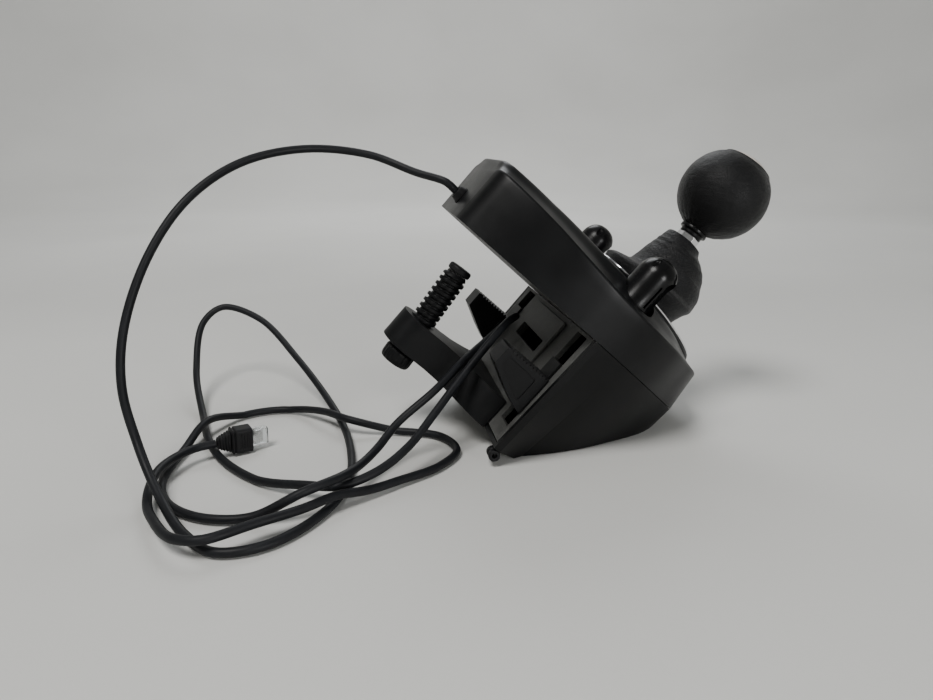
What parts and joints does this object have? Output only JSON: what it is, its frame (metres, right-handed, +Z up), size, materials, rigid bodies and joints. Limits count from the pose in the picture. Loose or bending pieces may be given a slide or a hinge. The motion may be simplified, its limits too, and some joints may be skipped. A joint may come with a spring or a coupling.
{
  "type": "racing gear shifter",
  "caption": "H-pattern gear shifter with a booted lever and ball knob, two screw clamps with toothed jaws, a lower thrust screw and a cable with a plug.",
  "frame": {"origin": "corner of the deck's flat underside and the back wall, in the middle; the shifter lies on its flat lower front face on a level floor", "axes": "+Z is up from the floor; +X is to the right along the deck's edge when facing +Y; +Y runs over the floor, on the side where the deck overhangs. The lever's upright axes are these turned 42 degrees about +X."},
  "size_m": [0.2137, 0.325, 0.147],
  "materials": {
    "deck_plastic": "satin black, fine texture",
    "casing_plastic": "matte black, fine texture",
    "cover_plastic": "satin dark grey",
    "knob_plastic": "soft gloss black",
    "clamp_plastic": "satin black",
    "ball_leather": "grained black",
    "boot_leather": "soft folded black",
    "cap_plastic": "pale warm grey, smooth",
    "chrome": "polished",
    "steel": "zinc plated",
    "plug_steel": "bright",
    "cable_rubber": "matte black",
    "plug_rubber": "matte black",
    "nylon": "black, satin",
    "circuit": "solder mask green",
    "clear_plastic": "clear"
  },
  "bodies": {
    "housing": {"deck_shell": "deck_plastic", "deck_base_plate": "cover_plastic", "deck_screw_1": "steel", "deck_screw_2": "steel", "deck_screw_3": "steel", "deck_screw_4": "steel", "lower_casing": "casing_plastic", "back_cover": "cover_plastic", "centre_panel": "cover_plastic", "corner_foot_left": "plug_rubber", "corner_foot_right": "plug_rubber", "boot_bezel": "deck_plastic", "chrome_trim": "chrome", "leather_boot": "boot_leather", "pivot_cradle": "nylon", "cradle_screw_1": "steel", "cradle_screw_2": "steel", "cradle_screw_3": "steel", "cradle_screw_4": "steel", "gate_plate": "nylon", "fore_aft_sensor": "circuit", "circuit_board": "circuit", "board_socket": "nylon", "clamp_nut_left": "steel", "clamp_nut_right": "steel", "bracket_arm": "clamp_plastic", "bracket_bolt_left": "steel", "bracket_bolt_right": "steel", "cable": "cable_rubber", "cable_grommet": "plug_rubber", "plug_strain_relief": "plug_rubber", "plug_overmould": "plug_rubber", "plug_shell": "plug_steel", "plug_clear_cap": "clear_plastic"},
    "gimbal": {"gimbal_frame": "nylon", "cross_pin": "steel", "side_return_spring": "steel", "side_sensor": "circuit"},
    "hub": {"lever_hub": "nylon", "push_spring": "steel"},
    "lever": {"lever_shaft": "chrome", "lever_nut": "chrome", "lever_collar": "knob_plastic", "ball_knob": "ball_leather", "knob_cap": "cap_plastic"},
    "left_knob": {"clamp_knob_left": "knob_plastic", "clamp_screw_left": "steel"},
    "right_knob": {"clamp_knob_right": "knob_plastic", "clamp_screw_right": "steel"},
    "left_jaw": {"clamp_jaw_left": "clamp_plastic"},
    "right_jaw": {"clamp_jaw_right": "clamp_plastic"},
    "pad": {"screw_pad": "plug_rubber"},
    "thrust_screw": {"bracket_screw": "clamp_plastic", "bracket_knob": "clamp_plastic"}
  },
  "joints": [
    {"name": "lever_fore_aft", "type": "hinge", "parent": "housing", "child": "gimbal", "pos_m": [0, -0.02757, -0.01944], "axis": [1, 0, 0], "range_deg": [-12, 12], "stiffness_Nm_per_rad": 1.5, "deforming": ["leather_boot"]},
    {"name": "lever_side", "type": "hinge", "parent": "gimbal", "child": "hub", "pos_m": [0, -0.02757, -0.01944], "axis": [0, 0.7826, 0.6225], "range_deg": [-9, 9], "stiffness_Nm_per_rad": 1.5, "deforming": ["side_return_spring", "leather_boot"]},
    {"name": "lever_push", "type": "slide", "parent": "hub", "child": "lever", "axis": [0, -0.6225, 0.7826], "range_m": [-0.008, 0], "stiffness_N_per_m": 900, "deforming": ["push_spring", "leather_boot"]},
    {"name": "left_jaw_slide", "type": "slide", "parent": "housing", "child": "left_jaw", "axis": [0, -0.6691, 0.7431], "range_m": [0, 0.016]},
    {"name": "left_knob_turn", "type": "hinge", "parent": "left_jaw", "child": "left_knob", "pos_m": [-0.0475, -0.00624, -0.00562], "axis": [0, -0.6691, 0.7431], "range_deg": [0, 2304]},
    {"name": "right_jaw_slide", "type": "slide", "parent": "housing", "child": "right_jaw", "axis": [0, -0.6691, 0.7431], "range_m": [-0.0055, 0.0105]},
    {"name": "right_knob_turn", "type": "hinge", "parent": "right_jaw", "child": "right_knob", "pos_m": [0.0475, -0.00624, -0.00562], "axis": [0, -0.6691, 0.7431], "range_deg": [-792, 1512]},
    {"name": "thrust_slide", "type": "slide", "parent": "housing", "child": "pad", "axis": [0, -0.6018, 0.7986], "range_m": [-0.022, 0]},
    {"name": "thrust_screw_turn", "type": "hinge", "parent": "pad", "child": "thrust_screw", "pos_m": [0, 0.07835, -0.01154], "axis": [0, -0.6018, 0.7986], "range_deg": [-2263, 0]}
  ],
  "couplings": [
    {"joint": "left_knob_turn", "follows": "left_jaw_slide", "rad_per_m": 2513.3},
    {"joint": "right_knob_turn", "follows": "right_jaw_slide", "rad_per_m": 2513.3},
    {"joint": "thrust_slide", "follows": "thrust_screw_turn", "m_per_rad": 0.00055704}
  ]
}
